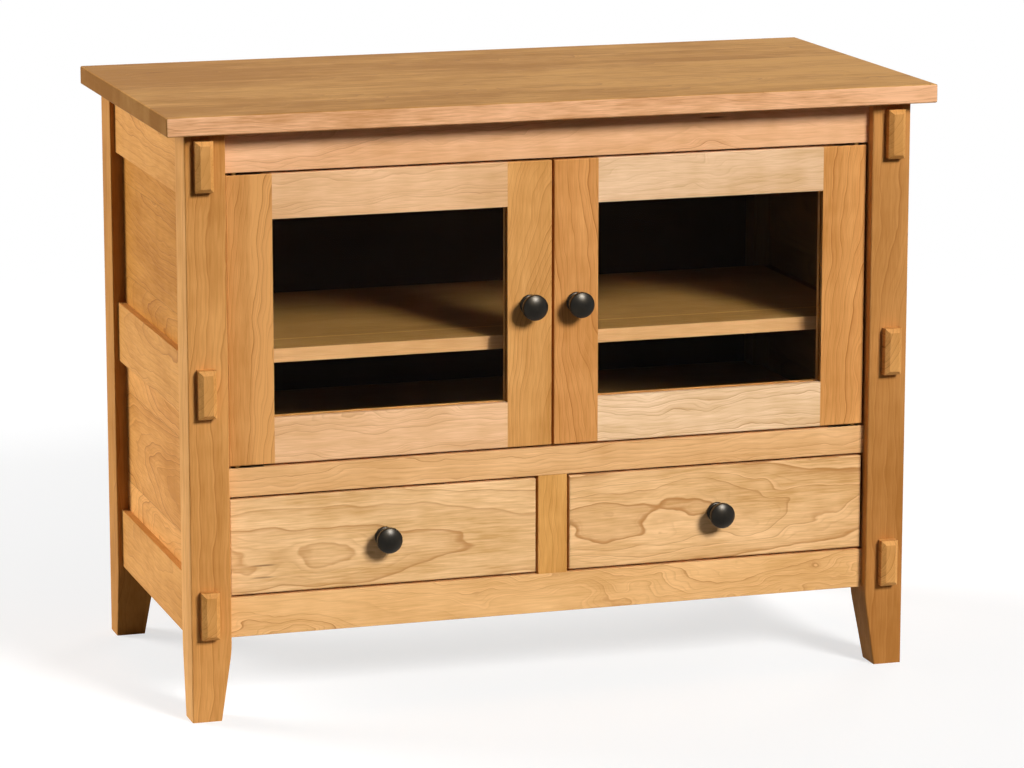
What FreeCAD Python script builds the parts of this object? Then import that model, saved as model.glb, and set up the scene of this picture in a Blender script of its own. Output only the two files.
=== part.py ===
import FreeCAD
import Part
import Sketcher
import math
import os
from types import SimpleNamespace
from FreeCAD import Vector

# Cherry cabinet for a television: four tapered posts, frame-and-panel sides whose rails pass through the
# front posts, two glazed doors on knife hinges and two dovetailed drawers on full-extension slides.
# Millimetres. The origin is the middle of the footprint on the floor, +X right, +Y to the back, +Z up.

SIZES = {
    # Whole cabinet
    "top_width": 1066.8,
    "top_depth": 533.4,
    "top_thick": 25.4,
    "total_height": 812.8,
    "side_overhang": 28.4,
    "front_overhang": 25.4,
    "back_overhang": 2.5,
    # Posts and their feet
    "post_size": 54.5,
    "foot_size": 40,
    "taper_tall": 95,
    "taper_blend": 150,
    # Front frame, set back behind the faces of the posts
    "face_setback": 15,
    "top_rail_tall": 56,
    "middle_rail_tall": 38.5,
    "bottom_rail_tall": 54,
    "bottom_rail_rise": 109,
    "drawer_bay_tall": 136.5,
    "divider_wide": 41,
    "stub_thick": 10,
    "stub_shoulder": 8,
    "mortise_wall": 3,
    "divider_stub": 12,
    # Side frames with their through tenons and floating panels
    "side_setback": 7,
    "side_rail_thick": 34,
    "side_top_tall": 88.9,
    "side_middle_tall": 83,
    "side_middle_rise": 403,
    "side_bottom_tall": 82,
    "side_bottom_rise": 105.5,
    "tenon_thick": 24,
    "tenon_inset": 1.25,
    "top_tenon_lift": 3.5,
    "tenon_proud": 17,
    "tenon_bevel": 5.5,
    "blind_tenon": 35,
    "panel_setback": 17,
    "panel_thick": 12,
    "groove_deep": 8,
    "panel_play": 1,
    # Back frame and its panel with cable slots
    "back_setback": 8,
    "back_rail_thick": 20,
    "back_top_tall": 60,
    "back_bottom_tall": 54,
    "back_panel_thick": 6,
    "slot_wide": 110,
    "slot_tall": 50,
    "slot_round": 20,
    "upper_slot_rise": 615,
    "lower_slot_rise": 432,
    # Floor of the glazed bay
    "floor_thick": 18,
    "floor_play": 1,
    "tongue_thick": 8,
    "tongue_long": 8,
    # Shelf on spoon pins
    "shelf_thick": 19,
    "shelf_back_gap": 5.5,
    "shelf_play": 1.5,
    "pin_radius": 2.5,
    "pin_play": 0.05,
    "pin_hole_deep": 11,
    "pin_inset": 45,
    "pin_drop": 20,
    "pin_pitch": 25,
    "spoon_long": 12,
    "spoon_wide": 16,
    "spoon_thick": 3,
    # Doors
    "door_gap": 3.2,
    "door_thick": 20,
    "stile_wide": 62,
    "door_top_tall": 60,
    "door_bottom_tall": 62,
    "lip_thick": 7,
    "glass_thick": 4,
    "glass_lap": 9.5,
    "glass_play": 1,
    "door_tenon_thick": 7,
    "door_tenon_long": 38,
    "door_tenon_shoulder": 12,
    # Knife hinges
    "pivot_from_edge": 12,
    "pivot_from_face": 7,
    "pivot_radius": 2.5,
    "pivot_play": 0.06,
    "collar_radius": 4.5,
    "collar_play": 0.1,
    "leaf_thick": 3,
    "leaf_wide": 10,
    "leaf_long": 44,
    "leaf_nose": 8,
    # Magnet catches on a cleat behind the top rail
    "catch_room": 2,
    "catch_gap": 0.3,
    "strike_radius": 7,
    "strike_thick": 1.2,
    "magnet_radius": 6,
    "magnet_deep": 8,
    "magnet_play": 0.05,
    "magnet_drop": 9,
    "cleat_long": 200,
    "cleat_thick": 18,
    "cleat_tall": 46,
    "cleat_drop": 16,
    # Drawers
    "drawer_thick": 20,
    "box_tall": 100,
    "box_back_gap": 49.5,
    "box_side_thick": 12.7,
    "box_end_thick": 15,
    "tail_root": 18,
    "tail_slope": 0.16,
    "bottom_thick": 6,
    "bottom_rise": 8,
    "bottom_groove": 6,
    "bottom_play": 0.3,
    # Drawer slides
    "slide_thick": 12.7,
    "slide_tall": 45,
    "slide_sheet": 1.3,
    "slide_play": 0.3,
    "slide_nest": 1,
    "slide_setback": 2,
    # Turned knobs
    "knob_radius": 17.5,
    "knob_proud": 34,
    "knob_head": 15,
    "knob_dome": 7.5,
    "knob_rim": 3,
    "knob_base_radius": 14,
    "knob_base_thick": 5,
    "knob_base_round": 2.5,
    "knob_neck_radius": 7.5,
    "knob_neck_round": 3.5,
    # Eased edges
    "top_ease": 2.5,
    "post_ease": 2,
    "rail_ease": 1,
    "door_ease": 1.5,
    "drawer_ease": 2,
}

TOLERANCE = 1e-4
TAILS_PER_CORNER = 3
PIN_ROWS = 3
SIDES = {"left": -1, "right": 1}

doc = FreeCAD.newDocument("tv_console")
sheet = doc.addObject("Spreadsheet::Sheet", "Sizes")
for row, (alias, number) in enumerate(SIZES.items(), start=1):
    sheet.set(f"A{row}", alias.replace("_", " "))
    sheet.set(f"B{row}", str(number))
    sheet.setAlias(f"B{row}", alias)
doc.recompute()


# A length is a size of the sheet, or arithmetic on such sizes: its value now and the expression that keeps it
class Length:
    def __init__(self, value, text):
        self.value = value
        self.text = text

    def __add__(self, other):
        other = length(other)
        return Length(self.value + other.value, f"({self.text} + {other.text})")

    def __sub__(self, other):
        other = length(other)
        return Length(self.value - other.value, f"({self.text} - {other.text})")

    def __mul__(self, other):
        other = length(other)
        return Length(self.value * other.value, f"{self.text} * {other.text}")

    def __truediv__(self, number):
        return Length(self.value / number, f"{self.text} / {number}")

    def __neg__(self):
        return Length(-self.value, f"(-1 * {self.text})")

    def __radd__(self, other):
        return length(other) + self

    def __rsub__(self, other):
        return length(other) - self

    def __rmul__(self, other):
        return length(other) * self


def length(thing):
    if isinstance(thing, Length):
        return thing
    return Length(thing, f"({thing})")


size = SimpleNamespace(**{alias: Length(sheet.get(alias), f"Sizes.{alias}") for alias in SIZES})
nodes = []


# Sketches: closed outlines whose corners are (u, v), or (u, v, radius) where the corner is rounded.
# In a domed outline the stretch to the last corner is an arc about a centre on the upright axis.

def start_sketch(body, role, offset):
    sketch = body.newObject("Sketcher::SketchObject", "Outline")
    plane = next(feature for feature in body.Origin.OriginFeatures if feature.Role == role)
    sketch.AttachmentSupport = [(plane, "")]
    sketch.MapMode = "FlatFace"
    sketch.setExpression("AttachmentOffset.Base.z", length(offset).text)
    return sketch


def constrain(sketch, constraints, bindings):
    first = sketch.ConstraintCount
    sketch.addConstraint(constraints)
    for index, text in bindings:
        sketch.setExpression(f"Constraints[{first + index}]", text)


# A sketch counts the ends of an arc anticlockwise
def sketch_arc(start, via, end):
    turns_left = (via - start).cross(end - via).z > 0
    return Part.Arc(start, via, end) if turns_left else Part.Arc(end, via, start)


# The tangent points of a rounded corner, and the arc between them
def corner_arc(before, corner, after, radius):
    into = (before - corner).normalize()
    out = (after - corner).normalize()
    half = into.getAngle(out) / 2
    reach = radius / math.tan(half)
    middle = corner + (into + out).normalize() * (radius / math.sin(half))
    start = corner + into * reach
    end = corner + out * reach
    nearest = middle + (corner - middle).normalize() * radius
    return start, end, sketch_arc(start, nearest, end)


# An arc that bulges from a rim to an apex on the upright axis
def dome_arc(rim, apex):
    rise = apex.y - rim.y
    radius = (rim.x ** 2 + rise ** 2) / (2 * rise)
    centre = Vector(0, apex.y - radius, 0)
    halfway = ((rim - centre).normalize() + (apex - centre).normalize()).normalize()
    return sketch_arc(rim, centre + halfway * abs(radius), apex)


# The ends of a piece of a sketch in the order in which the outline passes them
def end_order(piece, begin):
    return (1, 2) if (piece.StartPoint - begin).Length < (piece.EndPoint - begin).Length else (2, 1)


def draw_outline(sketch, corners, domed=False):
    corners = [tuple(length(part) for part in corner) for corner in corners]
    points = [Vector(corner[0].value, corner[1].value, 0) for corner in corners]
    count = len(corners)
    begins, finishes, arcs = list(points), list(points), {}
    for i, corner in enumerate(corners):
        if len(corner) == 3:
            finishes[i], begins[i], arcs[i] = corner_arc(
                points[i - 1], points[i], points[(i + 1) % count], corner[2].value)
    base = sketch.GeometryCount
    runs = [Part.LineSegment(begins[i], finishes[(i + 1) % count]) for i in range(count)]
    if domed:
        runs[-2] = dome_arc(points[-2], points[-1])
    sketch.addGeometry(runs)
    order = [end_order(run, begins[i]) for i, run in enumerate(runs)]
    constraints, bindings = [], []

    def tie(constraint, expression=None):
        if expression is not None:
            bindings.append((len(constraints), expression.text))
        constraints.append(constraint)

    for i, corner in enumerate(corners):
        line, previous = base + i, base + (i - 1) % count
        line_begin, previous_end = order[i][0], order[i - 1][1]
        if i in arcs:
            arc = sketch.addGeometry(arcs[i])
            point = sketch.addGeometry(Part.Point(points[i]), True)
            near, far = end_order(arcs[i], finishes[i])
            tie(Sketcher.Constraint("Tangent", previous, previous_end, arc, near))
            tie(Sketcher.Constraint("Tangent", line, line_begin, arc, far))
            tie(Sketcher.Constraint("Radius", arc, corner[2].value), corner[2])
            tie(Sketcher.Constraint("PointOnObject", point, 1, previous))
            tie(Sketcher.Constraint("PointOnObject", point, 1, line))
            spot = (point, 1)
        else:
            tie(Sketcher.Constraint("Coincident", previous, previous_end, line, line_begin))
            spot = (line, line_begin)
        last = corners[i - 1] if i > 0 else None
        if last and last[0].text == corner[0].text:
            tie(Sketcher.Constraint("Vertical", previous))
        else:
            tie(Sketcher.Constraint("DistanceX", -1, 1, *spot, corner[0].value), corner[0])
        if last and last[1].text == corner[1].text:
            tie(Sketcher.Constraint("Horizontal", previous))
        else:
            tie(Sketcher.Constraint("DistanceY", -1, 1, *spot, corner[1].value), corner[1])
    if domed:
        tie(Sketcher.Constraint("PointOnObject", base + count - 2, 3, -2))
    constrain(sketch, constraints, bindings)


def draw_circle(sketch, centre, radius):
    u, v = length(centre[0]), length(centre[1])
    circle = sketch.addGeometry(Part.Circle(Vector(u.value, v.value, 0), Vector(0, 0, 1), radius.value))
    constraints = [
        Sketcher.Constraint("DistanceX", -1, 1, circle, 3, u.value),
        Sketcher.Constraint("DistanceY", -1, 1, circle, 3, v.value),
        Sketcher.Constraint("Radius", circle, radius.value),
    ]
    constrain(sketch, constraints, [(0, u.text), (1, v.text), (2, radius.text)])


# Features: a pad or pocket along an axis between two places, drawn by (y, z), (x, z) or (x, y)

PLANES = {"x": ("YZ_Plane", 1), "y": ("XZ_Plane", -1), "z": ("XY_Plane", 1)}


def extrude(body, kind, axis, ends, outlines=(), circles=()):
    low, high = sorted((length(end) for end in ends), key=lambda end: end.value)
    role, facing = PLANES[axis]
    # A pad grows the way its sketch faces, and a pocket cuts the other way
    start = low if (kind == "Pad") == (facing > 0) else high
    sketch = start_sketch(body, role, facing * start)
    for corners in outlines:
        draw_outline(sketch, corners)
    for centre, radius in circles:
        draw_circle(sketch, centre, radius)
    feature = body.newObject("PartDesign::" + kind, kind)
    feature.Profile = sketch
    feature.setExpression("Length", (high - low).text)


def pad(body, axis, ends, *outlines, circles=()):
    extrude(body, "Pad", axis, ends, outlines, circles)


def pocket(body, axis, ends, *outlines, circles=()):
    extrude(body, "Pocket", axis, ends, outlines, circles)


def rect(u_ends, v_ends):
    (u0, u1), (v0, v1) = u_ends, v_ends
    return [(u0, v0), (u1, v0), (u1, v1), (u0, v1)]


def span(middle, width):
    return middle - width / 2, middle + width / 2


def mirrored(half):
    return -half, half


# Edges whose ends all lie in one of the given regions, each a range or a place along some axes
def edge_names(shape, regions):
    def inside(edge, region):
        for axis, limits in region.items():
            limits = limits if isinstance(limits, tuple) else (limits, limits)
            low, high = sorted(length(limit).value for limit in limits)
            for vertex in edge.Vertexes:
                if not low - TOLERANCE < getattr(vertex.Point, axis) < high + TOLERANCE:
                    return False
        return True

    return [f"Edge{i}" for i, edge in enumerate(shape.Edges, start=1)
            if any(inside(edge, region) for region in regions)]


def dress(body, kind, property_name, amount, regions):
    doc.recompute()
    base = body.Tip
    feature = body.newObject("PartDesign::" + kind, kind)
    feature.Base = (base, edge_names(base.Shape, regions))
    feature.setExpression(property_name, amount.text)


def ease(body, radius, *regions):
    dress(body, "Fillet", "Radius", radius, regions)


def new_body(name):
    body = doc.addObject("PartDesign::Body", name)
    body.Label = name
    return body


def new_node(name):
    body = new_body(name)
    nodes.append(body)
    return body


def new_group(name, bodies):
    group = doc.addObject("Part::Compound", name)
    group.Label = name
    group.Links = bodies
    nodes.append(group)


# Planes of the carcass that its pieces share

post_out = size.top_width / 2 - size.side_overhang
post_in = post_out - size.post_size
front = size.front_overhang - size.top_depth / 2
back = size.top_depth / 2 - size.back_overhang
bay_front = front + size.post_size
bay_back = back - size.post_size
under_top = size.total_height - size.top_thick

face = front + size.face_setback
door_back = face + size.door_thick
frame_back = door_back + size.catch_room

side_out = post_out - size.side_setback
side_in = side_out - size.side_rail_thick
panel_out = post_out - size.panel_setback
panel_in = panel_out - size.panel_thick
tenon_in, tenon_out = span((side_in + side_out) / 2, size.tenon_thick)
panel_grip = size.groove_deep - size.panel_play
stub_long = tenon_in - post_in - size.mortise_wall

back_rail_out = back - size.back_setback
back_rail_in = back_rail_out - size.back_rail_thick
back_rail_span = (back_rail_in, back_rail_out)
back_panel_span = span((back_rail_in + back_rail_out) / 2, size.back_panel_thick)
back_stub_span = span((back_rail_in + back_rail_out) / 2, size.stub_thick)

bottom_rail_span = (size.bottom_rail_rise, size.bottom_rail_rise + size.bottom_rail_tall)
drawer_bay = (bottom_rail_span[1], bottom_rail_span[1] + size.drawer_bay_tall)
middle_rail_span = (drawer_bay[1], drawer_bay[1] + size.middle_rail_tall)
top_rail_span = (under_top - size.top_rail_tall, under_top)
door_bay = (middle_rail_span[1], top_rail_span[0])
back_top_span = (under_top - size.back_top_tall, under_top)
back_bottom_span = (size.bottom_rail_rise, size.bottom_rail_rise + size.back_bottom_tall)

side_spans = {
    "top": (under_top - size.side_top_tall, under_top),
    "middle": (size.side_middle_rise, size.side_middle_rise + size.side_middle_tall),
    "bottom": (size.side_bottom_rise, size.side_bottom_rise + size.side_bottom_tall),
}
tenon_shoulder = size.groove_deep + size.tenon_inset
tenon_spans = {place: (low + tenon_shoulder, high - tenon_shoulder)
               for place, (low, high) in side_spans.items()}
tenon_spans["top"] = (tenon_spans["top"][0] + size.top_tenon_lift, tenon_spans["top"][1])

floor_top = middle_rail_span[1]
floor_low = floor_top - size.floor_thick
tongue_span = span((floor_low + floor_top) / 2, size.tongue_thick)
pin_rise = side_spans["middle"][1] - size.pin_drop
shelf_low = pin_rise + size.pin_radius
shelf_top = shelf_low + size.shelf_thick
shelf_front, shelf_back = bay_front + size.floor_play, bay_back - size.shelf_back_gap
box_front, box_back = face + size.drawer_thick, back_panel_span[0] - size.box_back_gap
front_stub_span = span((face + frame_back) / 2, size.stub_thick)
divider_span = mirrored(size.divider_wide / 2)
divider_stub_span = mirrored(size.divider_wide / 2 - size.stub_shoulder)


def stub(rail_span):
    return rail_span[0] + size.stub_shoulder, rail_span[1] - size.stub_shoulder


# Posts: square, with the foot tapered on both inner faces and a soft start to each taper

def foot_wedge(outer, inner):
    away = 1 if inner.value > outer.value else -1
    toe = outer + away * size.foot_size
    clear = inner + away * size.post_size
    shin = size.taper_tall + size.taper_blend / 4
    return [(toe, 0), (inner, size.taper_tall, size.taper_blend), (inner, shin), (clear, shin), (clear, 0)]


def post(name, side, outer_y, inner_y):
    body = new_node(name)
    x_out, x_in = side * post_out, side * post_in
    toe_x = side * (post_out - size.foot_size)
    ankle = (x_in, size.taper_tall, size.taper_blend)
    pad(body, "y", (outer_y, inner_y), [(x_out, 0), (x_out, under_top), (x_in, under_top), ankle, (toe_x, 0)])
    pocket(body, "x", (x_out, x_in), foot_wedge(outer_y, inner_y))
    away = 1 if inner_y.value > outer_y.value else -1
    toe_y = outer_y + away * size.foot_size
    ease(body, size.post_ease,
         {"x": x_out, "y": outer_y}, {"x": (x_in, toe_x), "y": outer_y}, {"x": x_out, "y": (inner_y, toe_y)})
    panel_run = (side_spans["bottom"][1] - size.groove_deep, side_spans["top"][0] + size.groove_deep)
    groove = rect((side * panel_in, side * panel_out), panel_run)
    pocket(body, "y", (inner_y, inner_y - away * size.groove_deep), groove)
    return body


def side_mortises(side):
    return [rect((side * tenon_in, side * tenon_out), tenon_span) for tenon_span in tenon_spans.values()]


for hand, side in SIDES.items():
    reach = (side * post_in, side * (post_in + stub_long))

    front_post = post(f"front_{hand}_post", side, front, bay_front)
    pocket(front_post, "y", (front, bay_front), *side_mortises(side))
    front_rails = (top_rail_span, middle_rail_span, bottom_rail_span)
    pocket(front_post, "x", reach, *[rect(front_stub_span, stub(rail)) for rail in front_rails])

    back_post = post(f"back_{hand}_post", side, back, bay_back)
    pocket(back_post, "y", (bay_back, bay_back + size.blind_tenon), *side_mortises(side))
    back_spans = (back_top_span, back_bottom_span)
    pocket(back_post, "x", reach, *[rect(back_stub_span, stub(rail)) for rail in back_spans])
    groove_reach = (side * post_in, side * (post_in + size.groove_deep))
    back_run = (back_bottom_span[1] - size.groove_deep, back_top_span[0] + size.groove_deep)
    pocket(back_post, "x", groove_reach, rect(back_panel_span, back_run))

# Side rails: one bar runs through the front post, with a bevelled end, and blind into the back post

pin_columns = (shelf_front + size.pin_inset, shelf_back - size.pin_inset)
bay_run = (bay_front, bay_back)


def side_rail(hand, side, place):
    body = new_node(f"{hand}_{place}_side_rail")
    low, high = side_spans[place]
    tenon_end = front - size.tenon_proud
    pad(body, "x", (side * side_in, side * side_out), rect(bay_run, (low, high)))
    bar = rect((tenon_end, bay_back + size.blind_tenon), tenon_spans[place])
    pad(body, "x", (side * tenon_in, side * tenon_out), bar)
    dress(body, "Chamfer", "Size", size.tenon_bevel, [{"y": tenon_end}])
    grooves = []
    if place != "bottom":
        grooves.append((low, low + size.groove_deep))
    if place != "top":
        grooves.append((high - size.groove_deep, high))
    pocket(body, "y", bay_run, *[rect((side * panel_in, side * panel_out), groove) for groove in grooves])
    return body


for hand, side in SIDES.items():
    for place in side_spans:
        rail = side_rail(hand, side, place)
        if place == "middle":
            holes = [((column, pin_rise - row * size.pin_pitch), size.pin_radius + size.pin_play)
                     for column in pin_columns for row in range(PIN_ROWS)]
            pocket(rail, "x", (side * side_in, side * (side_in + size.pin_hole_deep)), circles=holes)
    for name, below, above in (("upper", "middle", "top"), ("lower", "bottom", "middle")):
        panel = new_node(f"{hand}_{name}_panel")
        rise = (side_spans[below][1] - panel_grip, side_spans[above][0] + panel_grip)
        run = (bay_front - panel_grip, bay_back + panel_grip)
        pad(panel, "x", (side * panel_in, side * panel_out), rect(run, rise))

# Front rails and divider, with stub tenons that stop short of the side rails' tenons

hinge_pivot_x = post_in - size.door_gap - size.pivot_from_edge
hinge_pivot_y = face + size.pivot_from_face


def hinge_leaf(side):
    nose = hinge_pivot_x + size.leaf_nose
    return rect((side * nose, side * (nose - size.leaf_long)), span(hinge_pivot_y, size.leaf_wide))


def cross_rail(name, rise, thickness, stub_span):
    body = new_body(name)
    pad(body, "y", thickness, rect(mirrored(post_in), rise))
    pad(body, "y", stub_span, rect(mirrored(post_in + stub_long), stub(rise)))
    return body


def front_rail(name, rise, eased):
    body = cross_rail(name, rise, (face, frame_back), front_stub_span)
    nodes.append(body)
    ease(body, size.rail_ease, *[{"y": face, "z": edge} for edge in eased])
    return body


top_rail = front_rail("front_top_rail", top_rail_span, top_rail_span[:1])
middle_rail = front_rail("front_middle_rail", middle_rail_span, middle_rail_span)
bottom_rail = front_rail("front_bottom_rail", bottom_rail_span, bottom_rail_span)
leaves = [hinge_leaf(side) for side in SIDES.values()]
pocket(top_rail, "z", (door_bay[1], door_bay[1] + size.leaf_thick), *leaves)
pocket(middle_rail, "z", (door_bay[0] - size.leaf_thick, door_bay[0]), *leaves)
pocket(middle_rail, "y", (frame_back - size.tongue_long, frame_back), rect(mirrored(post_in), tongue_span))
divider_mortise = rect(divider_stub_span, front_stub_span)
pocket(middle_rail, "z", (drawer_bay[1], drawer_bay[1] + size.divider_stub), divider_mortise)
pocket(bottom_rail, "z", (drawer_bay[0] - size.divider_stub, drawer_bay[0]), divider_mortise)

divider = new_node("drawer_divider")
pad(divider, "y", (face, frame_back), rect(divider_span, drawer_bay))
divider_run = (drawer_bay[0] - size.divider_stub, drawer_bay[1] + size.divider_stub)
pad(divider, "y", front_stub_span, rect(divider_stub_span, divider_run))
ease(divider, size.rail_ease, *[{"y": face, "x": edge} for edge in divider_span])

# Back frame and panel

back_rails = []
for name, rise in (("back_top_rail", back_top_span), ("back_bottom_rail", back_bottom_span)):
    rail = cross_rail(name, rise, back_rail_span, back_stub_span)
    is_top = rise is back_top_span
    groove = (rise[0], rise[0] + size.groove_deep) if is_top else (rise[1] - size.groove_deep, rise[1])
    pocket(rail, "y", back_panel_span, rect(mirrored(post_in), groove))
    back_rails.append(rail)
new_group("back_rails", back_rails)

back_panel = new_node("back_panel")
panel_rise = (back_bottom_span[1] - panel_grip, back_top_span[0] + panel_grip)
pad(back_panel, "y", back_panel_span, rect(mirrored(post_in + panel_grip), panel_rise))


def cable_slot(rise):
    corners = rect(mirrored(size.slot_wide / 2), span(rise, size.slot_tall))
    return [(u, v, size.slot_round) for u, v in corners]


pocket(back_panel, "y", back_panel_span, cable_slot(size.upper_slot_rise), cable_slot(size.lower_slot_rise))

# Floor of the glazed bay, notched round the posts, with a tongue in the middle rail

floor_back = back_panel_span[0] - size.floor_play
narrow = post_in - size.floor_play
wide = side_in - size.floor_play
notch_front = bay_front + size.floor_play
notch_back = bay_back - size.floor_play
right_edge = [(narrow, frame_back), (narrow, notch_front), (wide, notch_front),
              (wide, notch_back), (narrow, notch_back), (narrow, floor_back)]
left_edge = [(-x, y) for x, y in reversed(right_edge)]
cabinet_floor = new_node("cabinet_floor")
pad(cabinet_floor, "z", (floor_low, floor_top), right_edge + left_edge)
pad(cabinet_floor, "y", (frame_back - size.tongue_long, frame_back), rect(mirrored(narrow), tongue_span))

# Top

top_slab = new_node("top_slab")
footprint = rect(mirrored(size.top_width / 2), mirrored(size.top_depth / 2))
pad(top_slab, "z", (under_top, size.total_height), footprint)
ease(top_slab, size.top_ease, {})

# Bearers and partition that carry the drawer slides

slide_rise = (drawer_bay[0] + drawer_bay[1]) / 2
slide_run = (box_front + size.slide_setback, box_back + size.slide_setback)
bearers = []
for hand, side in SIDES.items():
    bearer = new_body(f"{hand}_bearer")
    pad(bearer, "x", (side * post_in, side * side_in), rect(bay_run, (drawer_bay[0], floor_low)))
    bearers.append(bearer)
new_group("slide_bearers", bearers)

partition = new_node("slide_partition")
pad(partition, "x", divider_span, rect((frame_back, floor_back), (drawer_bay[0], floor_low)))


# Drawer slides: three nested channels, with the outer one on the carcass and the inner one on the drawer

def channel(web, lip, half_tall):
    sheet_in = web + size.slide_sheet if web.value < lip.value else web - size.slide_sheet
    shelf = half_tall - size.slide_sheet
    return [(web, -half_tall), (lip, -half_tall), (lip, -shelf), (sheet_in, -shelf),
            (sheet_in, shelf), (lip, shelf), (lip, half_tall), (web, half_tall)]


outer_half = size.slide_tall / 2
middle_half = outer_half - size.slide_sheet - size.slide_play
inner_half = middle_half - size.slide_sheet - size.slide_play
middle_web = size.slide_sheet + size.slide_nest
inner_lip = middle_web + size.slide_sheet + size.slide_nest
channels = {
    "outer": channel(length(0), size.slide_thick - middle_web, outer_half),
    "middle": channel(middle_web, size.slide_thick - size.slide_sheet - size.slide_nest, middle_half),
    "inner": channel(size.slide_thick, inner_lip, inner_half),
}


def slide_members(name, member, side):
    bodies = []
    for where, wall, towards in (("outside", post_in, -1), ("inside", size.divider_wide / 2, 1)):
        body = new_body(f"{name}_{where}")
        corners = [(side * (wall + towards * u), slide_rise + v) for u, v in channels[member]]
        pad(body, "y", slide_run, corners)
        bodies.append(body)
    return bodies


fixed_slides = []
for hand, side in SIDES.items():
    fixed_slides += slide_members(f"{hand}_slide_channel", "outer", side)
new_group("slide_channels", fixed_slides)

# Shelf on four spoon pins in the middle side rails

shelf = new_node("adjustable_shelf")
shelf_outline = rect(mirrored(side_in - size.shelf_play), (shelf_front, shelf_back))
pad(shelf, "z", (shelf_low, shelf_top), shelf_outline)
ease(shelf, size.rail_ease, {"y": shelf_front, "z": shelf_low}, {"y": shelf_front, "z": shelf_top})

pins = []
for hand, side in SIDES.items():
    for column, where in zip(pin_columns, ("front", "back")):
        pin = new_body(f"{hand}_{where}_shelf_pin")
        seat = (side * (side_in - size.spoon_long), side * side_in)
        pad(pin, "z", (shelf_low - size.spoon_thick, shelf_low), rect(seat, span(column, size.spoon_wide)))
        shank = (side * side_in, side * (side_in + size.pin_hole_deep - size.shelf_play))
        pad(pin, "x", shank, circles=[((column, pin_rise), size.pin_radius)])
        pins.append(pin)
new_group("shelf_pins", pins)

# Knife hinges: carcass leaves with their pins, let into the top and middle rails

leaf_gap = size.door_gap - size.collar_play
pivots = []
for hand, side in SIDES.items():
    for where, rail_edge, up in (("upper", door_bay[1], 1), ("lower", door_bay[0], -1)):
        pivot = new_body(f"{hand}_{where}_pivot")
        centre = (side * hinge_pivot_x, hinge_pivot_y)
        pin_tip = rail_edge - up * (size.door_gap + size.leaf_thick - size.collar_play)
        pad(pivot, "z", (rail_edge, rail_edge + up * size.leaf_thick), hinge_leaf(side))
        pad(pivot, "z", (rail_edge, rail_edge - up * leaf_gap), circles=[(centre, size.collar_radius)])
        pad(pivot, "z", (rail_edge, pin_tip), circles=[(centre, size.pivot_radius)])
        pivots.append(pivot)
new_group("hinge_pivots", pivots)

# Door stop behind the top rail, with two magnet catches

magnet_front = door_back + size.strike_thick + size.catch_gap
magnet_back = frame_back + size.magnet_deep
magnet_rise = door_bay[1] - size.magnet_drop
lock_stile_middle = (size.door_gap + size.stile_wide) / 2
magnet_spots = [(side * lock_stile_middle, magnet_rise) for side in SIDES.values()]

cleat = new_node("door_stop_cleat")
cleat_low = door_bay[1] - size.cleat_drop
cleat_outline = rect(mirrored(size.cleat_long / 2), (cleat_low, cleat_low + size.cleat_tall))
pad(cleat, "y", (frame_back, frame_back + size.cleat_thick), cleat_outline)
bores = [(spot, size.magnet_radius + size.magnet_play) for spot in magnet_spots]
pocket(cleat, "y", (frame_back, magnet_back), circles=bores)

catches = []
for hand, spot in zip(SIDES, magnet_spots):
    catch = new_body(f"{hand}_magnet")
    pad(catch, "y", (magnet_front, magnet_back), circles=[(spot, size.magnet_radius)])
    catches.append(catch)
new_group("door_catches", catches)


# Knobs: turned, with a flange, a waisted neck and a domed head

def knob(name, x, z):
    body = new_node(name)
    sketch = start_sketch(body, "XY_Plane", 0)
    head_back = size.knob_head - size.knob_proud
    head_rim = size.knob_dome - size.knob_proud
    draw_outline(sketch, [
        (0, 0),
        (size.knob_base_radius, 0),
        (size.knob_base_radius, -size.knob_base_thick, size.knob_base_round),
        (size.knob_neck_radius, -size.knob_base_thick, size.knob_neck_round),
        (size.knob_neck_radius, head_back, size.knob_neck_round),
        (size.knob_radius, head_back, size.knob_rim),
        (size.knob_radius, head_rim),
        (0, -size.knob_proud),
    ], domed=True)
    turning = body.newObject("PartDesign::Revolution", "Turning")
    turning.Profile = sketch
    turning.ReferenceAxis = (sketch, ["V_Axis"])
    turning.Angle = 360
    ease(body, size.knob_rim, {"y": head_rim})
    for axis, place in (("x", x), ("y", face), ("z", z)):
        body.setExpression(f"Placement.Base.{axis}", place.text)


# Doors: mortised frames rebated for the glass, so each rail has a short shoulder in front, a long one behind

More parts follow.
